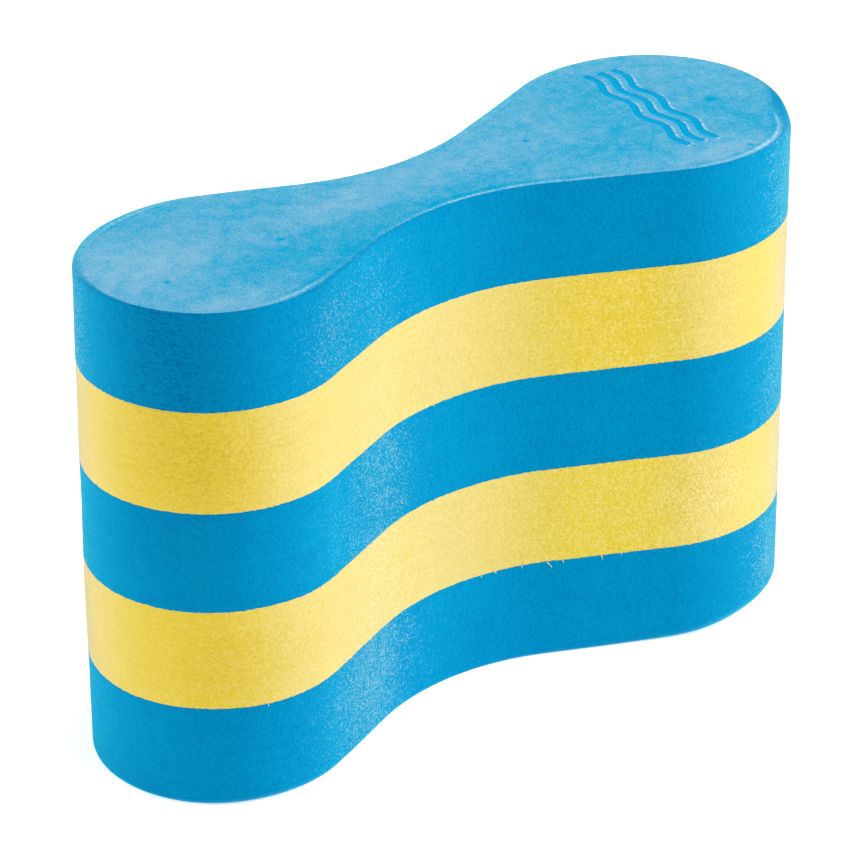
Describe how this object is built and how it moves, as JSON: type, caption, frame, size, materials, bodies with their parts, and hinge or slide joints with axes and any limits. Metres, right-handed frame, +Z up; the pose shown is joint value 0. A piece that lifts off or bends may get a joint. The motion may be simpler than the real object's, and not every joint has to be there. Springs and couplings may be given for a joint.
{
  "type": "pull buoy",
  "caption": "Figure-of-eight swim training float of laminated foam sheets, held between the thighs at its waist.",
  "frame": {"origin": "centre of the bottom face, where the float stands on its lowest foam sheet", "axes": "+X along the length towards the larger of the two floats, +Y across the width, +Z up through the stack of sheets"},
  "size_m": [0.228, 0.0828, 0.15],
  "materials": {
    "blue_foam": "matte",
    "yellow_foam": "matte",
    "adhesive": "matte"
  },
  "bodies": {
    "root": {"bottom_foam_layer": "blue_foam", "lower_yellow_foam_layer": "yellow_foam", "middle_foam_layer": "blue_foam", "upper_yellow_foam_layer": "yellow_foam", "top_foam_layer": "blue_foam", "glue_line_1": "adhesive", "glue_line_2": "adhesive", "glue_line_3": "adhesive", "glue_line_4": "adhesive"}
  },
  "joints": []
}
